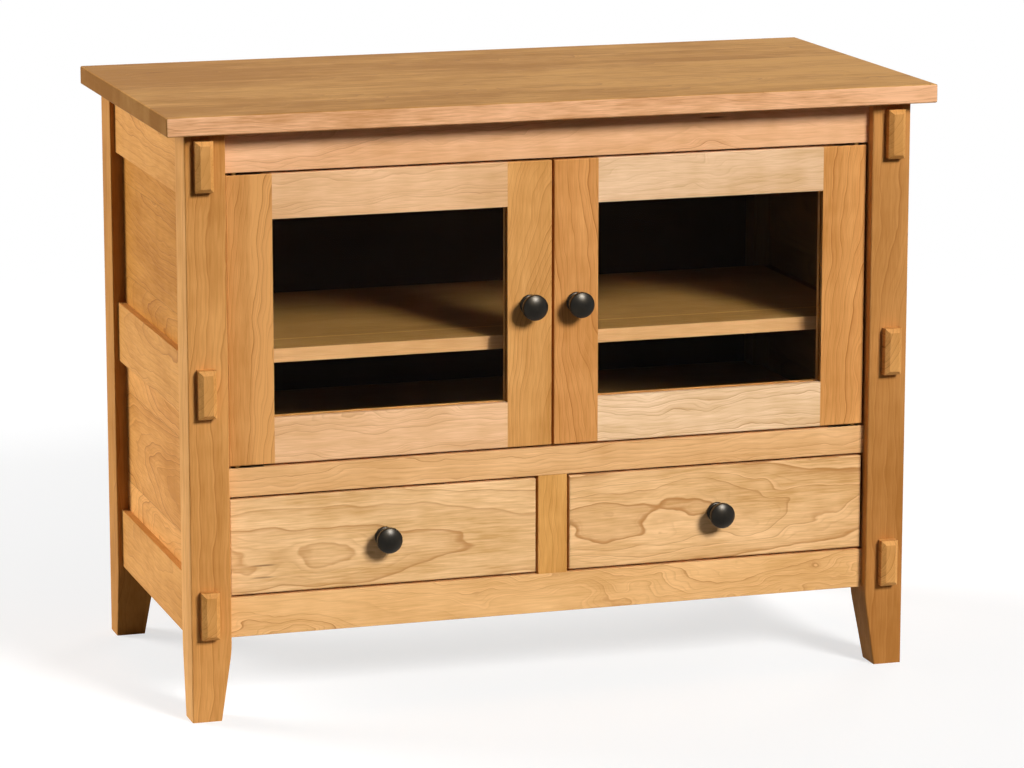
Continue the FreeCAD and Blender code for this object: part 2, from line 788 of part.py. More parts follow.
def build_door(hand, side):
    low, high = door_bay[0] + size.door_gap, door_bay[1] - size.door_gap
    outer, inner = post_in - size.door_gap, size.door_gap / 2
    hinge_edge, lock_edge = outer - size.stile_wide, inner + size.stile_wide
    sight_low, sight_high = low + size.door_bottom_tall, high - size.door_top_tall
    lip_back = face + size.lip_thick
    lap = size.glass_lap
    thickness = (face, door_back)
    rebate = (lip_back, door_back)
    tenon_thickness = (lip_back, lip_back + size.door_tenon_thick)
    top_tenon = (sight_high + lap, high - size.door_tenon_shoulder)
    bottom_tenon = (low + size.door_tenon_shoulder, sight_low - lap)

    def across(first, last):
        return side * first, side * last

    stiles = (("hinge_stile", outer, hinge_edge, 1), ("lock_stile", inner, lock_edge, -1))
    for part, edge, sight, into in stiles:
        stile = new_node(f"{hand}_door_{part}")
        wall = sight + into * lap
        pad(stile, "y", thickness, rect(across(edge, sight), (low, high)))
        ease(stile, size.door_ease,
             {"y": face, "x": side * edge}, {"y": face, "z": low}, {"y": face, "z": high})
        pocket(stile, "z", (low, high), rect(across(sight, wall), rebate))
        pocket(stile, "x", across(wall, wall + into * size.door_tenon_long),
               rect(tenon_thickness, top_tenon), rect(tenon_thickness, bottom_tenon))
        if part == "hinge_stile":
            pocket(stile, "z", (high - size.leaf_thick, high), hinge_leaf(side))
            pocket(stile, "z", (low, low + size.leaf_thick), hinge_leaf(side))

    rails = (("top_rail", high, sight_high, sight_high + lap, top_tenon),
             ("bottom_rail", low, sight_low, sight_low - lap, bottom_tenon))
    for part, edge, sight, wall, tenon in rails:
        rail = new_node(f"{hand}_door_{part}")
        pad(rail, "y", (face, lip_back), rect(across(lock_edge, hinge_edge), (edge, sight)))
        pad(rail, "y", rebate, rect(across(lock_edge - lap, hinge_edge + lap), (edge, wall)))
        reach = lap + size.door_tenon_long
        pad(rail, "y", tenon_thickness, rect(across(lock_edge - reach, hinge_edge + reach), tenon))
        ease(rail, size.door_ease, {"y": face, "z": edge})

    glass_back = lip_back + size.glass_thick
    grip = lap - size.glass_play
    glass = new_node(f"{hand}_door_glass")
    pad(glass, "y", (lip_back, glass_back),
        rect(across(lock_edge - grip, hinge_edge + grip), (sight_low - grip, sight_high + grip)))

    # Four mitred strips between the walls of the rebate and the sight line
    outside = rect(across(lock_edge - lap, hinge_edge + lap), (sight_low - lap, sight_high + lap))
    inside = rect(across(lock_edge, hinge_edge), (sight_low, sight_high))
    stops = []
    for i in range(len(outside)):
        strip = new_body(f"{hand}_door_stop_{i + 1}")
        after = (i + 1) % len(outside)
        pad(strip, "y", (glass_back, door_back), [outside[i], outside[after], inside[after], inside[i]])
        stops.append(strip)
    new_group(f"{hand}_door_glass_stops", stops)

    knob(f"{hand}_door_knob", side * (inner + lock_edge) / 2, (low + high) / 2)

    hardware = []
    leaf_spans = {"upper": (high - size.leaf_thick, high), "lower": (low, low + size.leaf_thick)}
    for where, leaf_span in leaf_spans.items():
        leaf = new_body(f"{hand}_door_{where}_leaf")
        centre = (side * hinge_pivot_x, hinge_pivot_y)
        pad(leaf, "z", leaf_span, hinge_leaf(side))
        pocket(leaf, "z", leaf_span, circles=[(centre, size.pivot_radius + size.pivot_play)])
        hardware.append(leaf)
    strike = new_body(f"{hand}_door_strike")
    pad(strike, "y", (door_back, door_back + size.strike_thick),
        circles=[((side * lock_stile_middle, magnet_rise), size.strike_radius)])
    hardware.append(strike)
    new_group(f"{hand}_door_hinge_leaves", hardware)


# Drawers: an applied front on a dovetailed box, with the sides' tails let into both ends

def build_drawer(hand, side):
    centre = side * (post_in + size.divider_wide / 2) / 2
    half_bay = (post_in - size.divider_wide / 2) / 2
    half_box = half_bay - size.slide_thick
    half_inside = half_box - size.box_side_thick
    front_root, back_root = box_front + size.box_end_thick, box_back - size.box_end_thick
    box_rise = span(slide_rise, size.box_tall)
    bottom_low = box_rise[0] + size.bottom_rise
    groove = (bottom_low, bottom_low + size.bottom_thick + size.bottom_play)
    flare = size.tail_root / 2 + size.box_end_thick * size.tail_slope

    def across(low, high):
        return centre + low, centre + high

    def tail(i, root, tip):
        middle = box_rise[0] + size.box_tall * (2 * i + 1) / (2 * TAILS_PER_CORNER)
        half = size.tail_root / 2
        return [(root, middle - half), (tip, middle - flare), (tip, middle + flare), (root, middle + half)]

    front_tails = [tail(i, front_root, box_front) for i in range(TAILS_PER_CORNER)]
    back_tails = [tail(i, back_root, box_back) for i in range(TAILS_PER_CORNER)]

    board = new_node(f"{hand}_drawer_front")
    board_rise = (drawer_bay[0] + size.door_gap, drawer_bay[1] - size.door_gap)
    half_board = half_bay - size.door_gap
    pad(board, "y", (face, box_front), rect(across(-half_board, half_board), board_rise))
    ease(board, size.drawer_ease, {"y": face})

    sides = []
    for where, way in SIDES.items():
        panel = new_body(f"{hand}_drawer_{where}_side")
        up_front = [corner for corners in front_tails for corner in corners]
        down_back = [corner for corners in reversed(back_tails) for corner in reversed(corners)]
        outline = [(front_root, box_rise[0]), *up_front, (front_root, box_rise[1]),
                   (back_root, box_rise[1]), *down_back, (back_root, box_rise[0])]
        pad(panel, "x", across(way * half_inside, way * half_box), outline)
        groove_run = (front_root - size.bottom_groove, back_root + size.bottom_groove)
        groove_reach = across(way * half_inside, way * (half_inside + size.bottom_groove))
        pocket(panel, "x", groove_reach, rect(groove_run, groove))
        sides.append(panel)
    new_group(f"{hand}_drawer_box_sides", sides)

    ends = []
    corners = (("front", front_root, box_front, front_tails), ("back", back_root, box_back, back_tails))
    for where, root, tip, tails in corners:
        panel = new_body(f"{hand}_drawer_{where}_end")
        pad(panel, "y", (root, tip), rect(across(-half_box, half_box), box_rise))
        for way in SIDES.values():
            pocket(panel, "x", across(way * half_inside, way * half_box), *tails)
        outward = 1 if tip.value > root.value else -1
        groove_width = across(-(half_inside + size.bottom_groove), half_inside + size.bottom_groove)
        pocket(panel, "y", (root, root + outward * size.bottom_groove), rect(groove_width, groove))
        ends.append(panel)
    new_group(f"{hand}_drawer_box_ends", ends)

    grip = size.bottom_groove - size.bottom_play
    bottom = new_node(f"{hand}_drawer_bottom")
    pad(bottom, "z", (bottom_low, bottom_low + size.bottom_thick),
        rect(across(-(half_inside + grip), half_inside + grip), (front_root - grip, back_root + grip)))

    knob(f"{hand}_drawer_knob", centre, slide_rise)
    new_group(f"{hand}_drawer_inner_slides", slide_members(f"{hand}_inner_slide", "inner", side))
    new_group(f"{hand}_drawer_middle_slides", slide_members(f"{hand}_middle_slide", "middle", side))


for hand, side in SIDES.items():
    build_door(hand, side)
for hand, side in SIDES.items():
    build_drawer(hand, side)

# Check everything before anything is written

doc.recompute()
faults = []
for item in doc.Objects:
    owner = item.getParentGeoFeatureGroup()
    name = f"{owner.Label} {item.Label}" if owner else item.Label
    is_feature = item.TypeId.startswith("PartDesign::P")
    if "Invalid" in item.State or "Error" in item.State or (is_feature and item.Shape.isNull()):
        faults.append(f"{name}: {item.State} {item.getStatusString()}")
    elif item.TypeId == "PartDesign::Pocket":
        if item.Shape.Volume > item.BaseFeature.Shape.Volume - TOLERANCE:
            faults.append(f"{name}: cuts nothing")
for node in nodes:
    if node.Shape.isNull() or not node.Shape.isValid() or not node.Shape.Solids:
        faults.append(f"{node.Label}: no valid solid")
if faults:
    raise RuntimeError("\n".join(faults))

os.makedirs("parts", exist_ok=True)
for node in nodes:
    node.Shape.exportStep(f"parts/{node.Label}.step")
box = Part.makeCompound([node.Shape for node in nodes]).optimalBoundingBox(False)
print(f"{len(nodes)} nodes, {box.XLength:.1f} x {box.YLength:.1f} x {box.ZLength:.1f} mm")
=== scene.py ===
import math

import bpy
from mathutils import Matrix, Vector


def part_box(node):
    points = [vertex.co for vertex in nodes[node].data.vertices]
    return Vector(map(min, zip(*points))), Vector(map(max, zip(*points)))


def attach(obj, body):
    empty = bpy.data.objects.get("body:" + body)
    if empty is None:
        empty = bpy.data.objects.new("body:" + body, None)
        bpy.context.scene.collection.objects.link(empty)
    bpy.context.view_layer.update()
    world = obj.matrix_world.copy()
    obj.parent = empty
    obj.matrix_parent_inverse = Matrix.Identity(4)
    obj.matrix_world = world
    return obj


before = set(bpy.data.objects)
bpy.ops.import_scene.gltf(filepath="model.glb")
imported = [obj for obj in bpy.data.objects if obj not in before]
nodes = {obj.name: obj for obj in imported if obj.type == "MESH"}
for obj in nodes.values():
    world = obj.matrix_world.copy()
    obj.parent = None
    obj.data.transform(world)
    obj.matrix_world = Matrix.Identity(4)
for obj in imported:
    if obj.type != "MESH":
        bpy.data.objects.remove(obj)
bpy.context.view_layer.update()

scene = bpy.context.scene
scene.view_settings.view_transform = "Standard"
print("frame loaded,", len(nodes), "nodes")


# Small helpers for node trees

def feed(tree, socket, value):
    if isinstance(value, bpy.types.NodeSocket):
        tree.links.new(value, socket)
    else:
        socket.default_value = value


def newNode(tree, kind, inputs=None, **settings):
    node = tree.nodes.new(kind)
    for name, value in settings.items():
        setattr(node, name, value)
    for name, value in (inputs or {}).items():
        feed(tree, node.inputs[name], value)
    return node


def calc(tree, operation, *values):
    node = newNode(tree, "ShaderNodeMath", operation=operation)
    for socket, value in zip(node.inputs, values):
        feed(tree, socket, value)
    return node.outputs[0]


def aroundZero(tree, value):    # what runs from 0 to 1, moved to run either side of 0
    return calc(tree, "SUBTRACT", value, 0.5)


def scaleAdd(tree, value, factor, added):
    return calc(tree, "MULTIPLY_ADD", value, factor, added)


def ramp(tree, value, low, high, start=0.0, end=1.0):
    inputs = {"Value": value, "From Min": low, "From Max": high, "To Min": start, "To Max": end}
    return newNode(tree, "ShaderNodeMapRange", inputs, interpolation_type="SMOOTHSTEP").outputs["Result"]


def joinXyz(tree, x, y, z):
    return newNode(tree, "ShaderNodeCombineXYZ", {"X": x, "Y": y, "Z": z}).outputs["Vector"]


def stretch(tree, vector, scales):
    node = newNode(tree, "ShaderNodeVectorMath", operation="MULTIPLY")
    feed(tree, node.inputs[0], vector)
    feed(tree, node.inputs[1], scales)
    return node.outputs[0]


def noise(tree, vector, scales, detail=2.0, rough=0.5):
    inputs = {"Vector": stretch(tree, vector, scales), "Scale": 1.0, "Detail": detail, "Roughness": rough}
    return newNode(tree, "ShaderNodeTexNoise", inputs).outputs


def lotOf(tree, seed):    # one random colour for each whole seed
    inputs = {"W": seed}
    return newNode(tree, "ShaderNodeTexWhiteNoise", inputs, noise_dimensions="1D").outputs


def mixColour(tree, amount, first, second, mode="MIX"):
    node = newNode(tree, "ShaderNodeMix", data_type="RGBA", blend_type=mode)
    for index, value in ((0, amount), (6, first), (7, second)):    # the sockets of a colour mix
        feed(tree, node.inputs[index], value)
    return node.outputs[2]


def paint(red, green, blue):    # a colour as the screen shows it, 0 to 255
    def level(value):
        value /= 255
        return value / 12.92 if value <= 0.04045 else ((value + 0.055) / 1.055) ** 2.4
    return level(red), level(green), level(blue), 1.0


def newGroup(name, inputs, outputs):
    tree = bpy.data.node_groups.new(name, "ShaderNodeTree")
    for socket, kind in inputs.items():
        tree.interface.new_socket(socket, in_out="INPUT", socket_type="NodeSocket" + kind)
    for socket, kind in outputs.items():
        tree.interface.new_socket(socket, in_out="OUTPUT", socket_type="NodeSocket" + kind)
    return tree, tree.nodes.new("NodeGroupInput").outputs, tree.nodes.new("NodeGroupOutput").inputs


def newMaterial(name):
    material = bpy.data.materials.new(name)
    material.use_nodes = True
    return material, material.node_tree, material.node_tree.nodes["Principled BSDF"]


# Wood: growth rings round the heart of a log, cut by the board's faces. X runs along the grain, Y across the
# face, Z into the board, all in metres from the board's middle

figureInputs = {
    "Vector": "Vector", "End Grain": "Float", "Seed": "Float", "Plank Width": "Float", "Plank Shift": "Float",
    "Ring Width": "Float", "Pith Depth": "Float", "Pith Side": "Float", "Lean": "Float", "Wander": "Float",
    "Bow": "Float", "Bow At": "Float", "Wiggle": "Float", "Line": "Float", "Pale Line": "Float",
    "Mottle": "Float", "Streak": "Float", "Curl": "Float", "Gum": "Float", "Sapwood": "Float", "Fade": "Float",
    "End Shade": "Float", "Even": "Float",
    "Pale Wood": "Color", "Deep Wood": "Color", "Ring Wood": "Color",
}
figureShape = {
    "plankSeed": 3.7, "plankSlide": 4.0, "plankTone": 5.0,    # how planks differ
    "sway": (3.0, 5.0, 5.0), "wiggle": (13.0, 28.0, 28.0), "ripple": (48.0, 70.0, 70.0),    # per metre
    "rippleShare": 0.13, "bowLevel": 36.0,
    "unevenPitch": 0.21, "unevenReach": 2.6,
    "edgeRise": (0.84, 0.96), "edgeShare": 0.75, "lateRise": (0.3, 0.95), "lateShare": 0.25,    # within a ring
    "lateEnd": (0.96, 1.0), "earlyEnd": (0.0, 0.3), "contrast": 2.0,
    "fineCount": 3.0, "fineStart": 0.37, "fineRise": (0.5, 0.9), "fineEnd": (0.9, 1.0), "fineShare": 0.36,
    "fibre": (26.0, 420.0, 420.0), "pores": (45.0, 2400.0, 2400.0), "poreRise": (0.6, 0.75), "poreShare": 0.12,
    "mottle": (5.0, 16.0, 16.0), "streak": (4.0, 120.0, 120.0), "streakShare": 0.35, "curl": (34.0, 9.0, 9.0),
    "gum": (6.0, 75.0, 75.0), "gumEdge": (0.03, 0.15), "gumShare": 0.75, "gumColour": paint(92, 52, 28),
    "sapEdge": (-0.004, 0.012), "endGrainLoss": -0.85,
    "seamWidth": 0.0009, "seamShare": 0.35, "seamColour": paint(96, 58, 30),
    "rough": 0.52, "fibreRough": 0.16, "lateRough": -0.06, "endRough": 0.12,
    "poreHeight": -0.6, "lateHeight": 0.06,
}


def buildFigure(shape):
    tree, given, result = newGroup(
        "woodFigure", figureInputs, {"Color": "Color", "Roughness": "Float", "Height": "Float"})
    place = newNode(tree, "ShaderNodeSeparateXYZ", {"Vector": given["Vector"]}).outputs

    # glued planks, each from another place in the log
    plank = calc(tree, "ROUND", calc(tree, "DIVIDE", place["Y"], given["Plank Width"]))
    lot = lotOf(tree, scaleAdd(tree, plank, shape["plankSeed"], given["Seed"]))["Color"]
    lot = newNode(tree, "ShaderNodeSeparateColor", {"Color": lot}).outputs
    across = calc(tree, "SUBTRACT", place["Y"], calc(tree, "MULTIPLY", plank, given["Plank Width"]))
    along = scaleAdd(tree, lot["Red"], shape["plankSlide"], place["X"])
    pithSide = scaleAdd(tree, aroundZero(tree, lot["Green"]), given["Plank Shift"], given["Pith Side"])
    inLog = joinXyz(tree, along, across, calc(tree, "ADD", place["Z"], given["Seed"]))

    # the heart wanders along the tree, and the rings wiggle
    sway = noise(tree, inLog, shape["sway"], detail=1.0)["Color"]
    sway = newNode(tree, "ShaderNodeSeparateColor", {"Color": sway}).outputs
    swayY = calc(tree, "MULTIPLY", aroundZero(tree, sway["Red"]), given["Wander"])
    swayZ = calc(tree, "MULTIPLY", aroundZero(tree, sway["Green"]), given["Wander"])
    fromPithY = calc(tree, "ADD", calc(tree, "SUBTRACT", across, pithSide), swayY)
    fromPithZ = calc(tree, "ADD", calc(tree, "ADD", place["Z"], given["Pith Depth"]), swayZ)
    fromPithZ = scaleAdd(tree, place["X"], given["Lean"], fromPithZ)
    fromBow = calc(tree, "SUBTRACT", place["X"], given["Bow At"])
    fromBow = calc(tree, "MULTIPLY", fromBow, fromBow)
    fromBow = calc(tree, "DIVIDE", fromBow, scaleAdd(tree, fromBow, shape["bowLevel"], 1.0))    # levels off
    fromPithZ = scaleAdd(tree, fromBow, given["Bow"], fromPithZ)
    radius = newNode(tree, "ShaderNodeVectorMath", operation="LENGTH")
    tree.links.new(joinXyz(tree, 0.0, fromPithY, fromPithZ), radius.inputs[0])
    wiggle = aroundZero(tree, noise(tree, inLog, shape["wiggle"], detail=1.0)["Fac"])
    ripple = aroundZero(tree, noise(tree, inLog, shape["ripple"], detail=1.0)["Fac"])
    wiggle = scaleAdd(tree, ripple, shape["rippleShare"], wiggle)
    radius = scaleAdd(tree, wiggle, given["Wiggle"], radius.outputs["Value"])

    # rings of uneven width and strength: a faint darkening, then a thin line with a sharp end
    ring = calc(tree, "DIVIDE", radius, given["Ring Width"])
    uneven = {"W": scaleAdd(tree, ring, shape["unevenPitch"], given["Seed"]), "Scale": 1.0, "Detail": 1.0}
    uneven = newNode(tree, "ShaderNodeTexNoise", uneven, noise_dimensions="1D").outputs["Fac"]
    ring = scaleAdd(tree, uneven, shape["unevenReach"], ring)
    share = calc(tree, "FRACT", ring)
    strength = lotOf(tree, calc(tree, "ADD", calc(tree, "FLOOR", ring), given["Seed"]))["Value"]
    edge = calc(tree, "MULTIPLY", ramp(tree, share, *shape["edgeRise"]), shape["edgeShare"])
    late = scaleAdd(tree, ramp(tree, share, *shape["lateRise"]), shape["lateShare"], edge)
    late = calc(tree, "MULTIPLY", late, ramp(tree, share, *shape["lateEnd"], 1.0, 0.0))
    kept = calc(tree, "MULTIPLY", calc(tree, "POWER", strength, shape["contrast"]),
                calc(tree, "SUBTRACT", 1.0, given["Even"]))
    late = calc(tree, "MULTIPLY", late, calc(tree, "ADD", kept, given["Even"]))
    fine = calc(tree, "FRACT", scaleAdd(tree, ring, shape["fineCount"], shape["fineStart"]))
    fine = calc(tree, "MULTIPLY", ramp(tree, fine, *shape["fineRise"]),
                ramp(tree, fine, *shape["fineEnd"], shape["fineShare"], 0.0))    # fainter lines inside a ring
    late = calc(tree, "MAXIMUM", late, calc(tree, "MULTIPLY", fine, strength))
    early = calc(tree, "MULTIPLY", ramp(tree, share, *shape["earlyEnd"], 1.0, 0.0), strength)

    # fibres, pores, broad mottling, cross figure and gum streaks
    sideGrain = scaleAdd(tree, given["End Grain"], shape["endGrainLoss"], 1.0)
    fibre = aroundZero(tree, noise(tree, inLog, shape["fibre"], detail=3.0, rough=0.6)["Fac"])
    fibre = calc(tree, "MULTIPLY", fibre, sideGrain)
    pores = ramp(tree, noise(tree, inLog, shape["pores"], detail=1.0)["Fac"], *shape["poreRise"])
    pores = calc(tree, "MULTIPLY", pores, sideGrain)
    mottle = noise(tree, inLog, shape["mottle"], detail=3.0, rough=0.6)["Fac"]
    streak = aroundZero(tree, noise(tree, inLog, shape["streak"], rough=0.6)["Fac"])
    streak = scaleAdd(tree, calc(tree, "MULTIPLY", streak, sideGrain), shape["streakShare"], fibre)
    curl = noise(tree, inLog, shape["curl"], detail=1.0)["Fac"]
    cells = {"Vector": stretch(tree, inLog, shape["gum"]), "Scale": 1.0}
    cells = newNode(tree, "ShaderNodeTexVoronoi", cells).outputs
    chosen = newNode(tree, "ShaderNodeSeparateColor", {"Color": cells["Color"]}).outputs["Red"]
    chosen = calc(tree, "LESS_THAN", chosen, given["Gum"])
    gum = calc(tree, "MULTIPLY", ramp(tree, cells["Distance"], *shape["gumEdge"], 1.0, 0.0), chosen)

    tone = scaleAdd(tree, aroundZero(tree, mottle), given["Mottle"], 0.5)
    tone = scaleAdd(tree, streak, given["Streak"], tone)
    tone = scaleAdd(tree, aroundZero(tree, curl), given["Curl"], tone)
    plankTone = calc(tree, "MULTIPLY", aroundZero(tree, lot["Blue"]), given["Plank Shift"])
    tone = scaleAdd(tree, plankTone, shape["plankTone"], tone)
    # painted light and shade: the tone runs paler or deeper along the grain
    tone = scaleAdd(tree, place["X"], given["Fade"], tone)
    sap = calc(tree, "MULTIPLY", ramp(tree, across, *shape["sapEdge"]), given["Sapwood"])
    tone = calc(tree, "SUBTRACT", tone, sap)
    tone = calc(tree, "MINIMUM", calc(tree, "MAXIMUM", tone, 0.0), 1.0)
    colour = mixColour(tree, tone, given["Pale Wood"], given["Deep Wood"])
    colour = mixColour(tree, calc(tree, "MULTIPLY", late, given["Line"]), colour, given["Ring Wood"])
    colour = mixColour(tree, calc(tree, "MULTIPLY", early, given["Pale Line"]), colour, given["Pale Wood"])
    colour = mixColour(tree, calc(tree, "MULTIPLY", gum, shape["gumShare"]), colour, shape["gumColour"])
    colour = mixColour(tree, calc(tree, "MULTIPLY", pores, shape["poreShare"]), colour, given["Ring Wood"])
    halfPlank = calc(tree, "MULTIPLY", given["Plank Width"], 0.5)
    fromSeam = calc(tree, "SUBTRACT", halfPlank, calc(tree, "ABSOLUTE", across))
    seam = ramp(tree, fromSeam, 0.0, shape["seamWidth"], shape["seamShare"], 0.0)
    shade = calc(tree, "MAXIMUM", seam, calc(tree, "MULTIPLY", given["End Grain"], given["End Shade"]))
    feed(tree, result["Color"], mixColour(tree, shade, colour, shape["seamColour"]))

    rough = scaleAdd(tree, fibre, shape["fibreRough"], shape["rough"])
    rough = scaleAdd(tree, late, shape["lateRough"], rough)
    feed(tree, result["Roughness"], scaleAdd(tree, given["End Grain"], shape["endRough"], rough))
    height = scaleAdd(tree, pores, shape["poreHeight"], fibre)
    feed(tree, result["Height"], scaleAdd(tree, late, shape["lateHeight"], height))
    return tree


woodFigure = buildFigure(figureShape)
figureTurns = {    # rows give the figure's X, Y and Z in the object's axes, by grain and face
    "xz": Matrix(((1, 0, 0), (0, 1, 0), (0, 0, 1))),
    "xy": Matrix(((1, 0, 0), (0, 0, 1), (0, -1, 0))),
    "zy": Matrix(((0, 0, 1), (1, 0, 0), (0, 1, 0))),
    "yx": Matrix(((0, 1, 0), (0, 0, 1), (1, 0, 0))),
}
plainBoard = {
    "Seed": 0.0, "Plank Width": 9.0, "Plank Shift": 0.0, "Ring Width": 0.0055, "Pith Depth": 0.09,
    "Pith Side": 0.11, "Lean": 0.03, "Wander": 0.03, "Bow": 0.0, "Bow At": 0.0, "Wiggle": 0.014, "Line": 0.8,
    "Pale Line": 0.3, "Even": 0.15, "Mottle": 1.4, "Streak": 0.9, "Curl": 0.35, "Gum": 0.03, "Sapwood": 0.0,
    "Fade": 0.0, "End Shade": 0.16,
}
woodFinish = {"seedStep": 1.37, "endGrainRise": (0.75, 0.95), "faceRise": (0.6, 0.95), "bump": 0.14,
              "bumpDepth": 0.0004, "gloss": 0.03}    # a rubbed finish, nearly matt
boardSeeds = iter(range(1, 200))


def figureVector(tree, turn, middle):
    matrix = figureTurns[turn]
    objectPlace = newNode(tree, "ShaderNodeTexCoord").outputs["Object"]
    mapping = newNode(tree, "ShaderNodeMapping", {"Vector": objectPlace})
    mapping.inputs["Rotation"].default_value = matrix.to_euler("XYZ")
    mapping.inputs["Location"].default_value = -(matrix @ middle)
    return mapping.outputs["Vector"]


def tint(base, wanted):    # what turns one colour into another, keeping the figure
    return tuple(new / old for new, old in zip(paint(*wanted), paint(*base)))


def touchMask(tree, touch):    # where a board's tone differs, for painted light and shade or a glue line: on faces along an axis, or between limits
    coordinates = newNode(tree, "ShaderNodeTexCoord").outputs
    mask = 1.0
    if "axis" in touch:
        normal = newNode(tree, "ShaderNodeSeparateXYZ", {"Vector": coordinates["Normal"]}).outputs
        mask = ramp(tree, calc(tree, "ABSOLUTE", normal[touch["axis"]]), *woodFinish["faceRise"])
    place = newNode(tree, "ShaderNodeSeparateXYZ", {"Vector": coordinates["Object"]}).outputs
    for axis, (low, high) in touch.get("limits", {}).items():
        mask = calc(tree, "MULTIPLY", mask, calc(tree, "GREATER_THAN", place[axis], low))
        mask = calc(tree, "MULTIPLY", mask, calc(tree, "LESS_THAN", place[axis], high))
    return mask


def woodMaterial(name, turn, look, middle, touches):
    material, tree, shader = newMaterial(name)
    look = plainBoard | {"Seed": next(boardSeeds) * woodFinish["seedStep"]} | look
    figure = newNode(tree, "ShaderNodeGroup", node_tree=woodFigure)
    for socket, value in look.items():
        feed(tree, figure.inputs[socket], value)
    feed(tree, figure.inputs["Vector"], figureVector(tree, turn, middle))
    facing = newNode(tree, "ShaderNodeVectorMath", operation="DOT_PRODUCT")
    feed(tree, facing.inputs[0], newNode(tree, "ShaderNodeTexCoord").outputs["Normal"])
    feed(tree, facing.inputs[1], figureTurns[turn][0])
    endGrain = ramp(tree, calc(tree, "ABSOLUTE", facing.outputs["Value"]), *woodFinish["endGrainRise"])
    feed(tree, figure.inputs["End Grain"], endGrain)
    colour = figure.outputs["Color"]
    for touch in touches:
        colour = mixColour(tree, touchMask(tree, touch), colour, touch["tint"], "MULTIPLY")
    feed(tree, shader.inputs["Base Color"], colour)
    feed(tree, shader.inputs["Roughness"], figure.outputs["Roughness"])
    bump = newNode(tree, "ShaderNodeBump", {"Height": figure.outputs["Height"], "Strength": woodFinish["bump"],
                                            "Distance": woodFinish["bumpDepth"]})
    feed(tree, shader.inputs["Normal"], bump.outputs["Normal"])
    shader.inputs["Specular IOR Level"].default_value = woodFinish["gloss"]
    return material


def putOn(name, material):
    for slot in nodes[name].material_slots:
        slot.material = material


def finishWood(name, turn, look, *touches):
    low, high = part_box(name)
    putOn(name, woodMaterial(name + "_wood", turn, look, (low + high) / 2, touches))


# Cherry runs from pale pinkish rails to a ruddy right-hand post: one tone for each board, as it looks in plain
# light, with paler and deeper wood round it
cherryShares = {"Pale Wood": (1.09, 1.12, 1.19), "Deep Wood": (0.91, 0.875, 0.79),
                "Ring Wood": (0.78, 0.67, 0.53)}


def cherryTone(*tone):
    return {wood: paint(*(level * share for level, share in zip(tone, shares)))
            for wood, shares in cherryShares.items()}


# Top: five planks along its length
# the top's front and back edges are paler, partly quarter-sawn figure and partly painted light; its tone also
# pales towards the right end, painted light
topTone, topEdgeFigureAndLight = (194, 140, 74), (228, 171, 123)
topLook = cherryTone(*topTone) | {
    "Plank Width": 0.112, "Plank Shift": 0.12, "Pith Side": 0.02, "Pith Depth": 0.12, "Ring Width": 0.006,
    "Line": 0.65, "Even": 0.14, "Mottle": 2.5, "Streak": 2.0, "Curl": 0.4, "Fade": -0.6, "End Shade": 0.5}
finishWood("top_slab", "xz", topLook, {"axis": "Y", "tint": tint(topTone, topEdgeFigureAndLight)})

# Posts: straight figure up their length
postLook = {"Pith Side": 0.14, "Pith Depth": 0.12, "Ring Width": 0.013, "Line": 0.65, "Wander": 0.06,
            "Lean": 0.05, "Mottle": 1.8}
postSideLight = {"axis": "X", "tint": tint((206, 145, 80), (224, 164, 96))}    # painted light: the front posts' sides are paler than their fronts
bayShadeTint = {"limits": {"X": (-0.482, 0.482), "Y": (-0.2, 0.245), "Z": (0.33, 0.79)},
               "tint": (0.28, 0.28, 0.33, 1.0)}    # painted shade: darker inside the glazed bay, where little light reaches
# painted light and shade: the posts' tone slopes paler or deeper up their length
for post, change, touch in (
    ("front_left_post", cherryTone(205, 144, 78) | {"Fade": 0.2}, postSideLight),
    ("front_right_post", cherryTone(187, 128, 67) | {"Mottle": 2.0, "Fade": -1.3}, postSideLight),
    ("back_left_post", cherryTone(195, 135, 67) | {"Pith Side": -0.12}, bayShadeTint),
    ("back_right_post", cherryTone(200, 140, 77), bayShadeTint),
):
    finishWood(post, "zy", postLook | change, touch)

# Front rails and the divider between the drawers
railLook = {"Pith Side": 0.08, "Pith Depth": 0.07, "Line": 0.9, "Wiggle": 0.02}
for rail, turn, change in (
    ("front_top_rail", "xy", cherryTone(235, 180, 131) | {"Pith Side": 0.05, "Wander": 0.05}),
    ("front_middle_rail", "xy", cherryTone(226, 174, 116)),
    ("front_bottom_rail", "xy", cherryTone(231, 179, 117) | {"Pith Side": -0.03, "Wander": 0.06}),
    ("drawer_divider", "zy", cherryTone(215, 156, 84) | {"Mottle": 2.0, "Even": 0.3}),
):
    finishWood(rail, turn, railLook | change)

# Side frames: rails and floating panels with the grain running front to back
sideRailLook = cherryTone(219, 157, 86) | {"Pith Side": 0.03, "Pith Depth": 0.05, "Ring Width": 0.007,
                                           "Line": 0.85, "Even": 0.3, "Bow": 0.6, "Wander": 0.05}
panelTones = {"upper": cherryTone(203, 140, 67), "lower": cherryTone(222, 158, 87)}
panelLook = {"Plank Width": 0.13, "Plank Shift": 0.1, "Pith Side": 0.03, "Pith Depth": 0.06,
             "Ring Width": 0.008, "Line": 1.0, "Even": 0.35, "Mottle": 1.9, "Wander": 0.06, "Lean": 0.1}
for hand in ("left", "right"):
    for place in ("top", "middle", "bottom"):
        finishWood(f"{hand}_{place}_side_rail", "yx", sideRailLook, bayShadeTint)
    for place in ("upper", "lower"):
        finishWood(f"{hand}_{place}_panel", "yx", panelLook | panelTones[place], bayShadeTint)

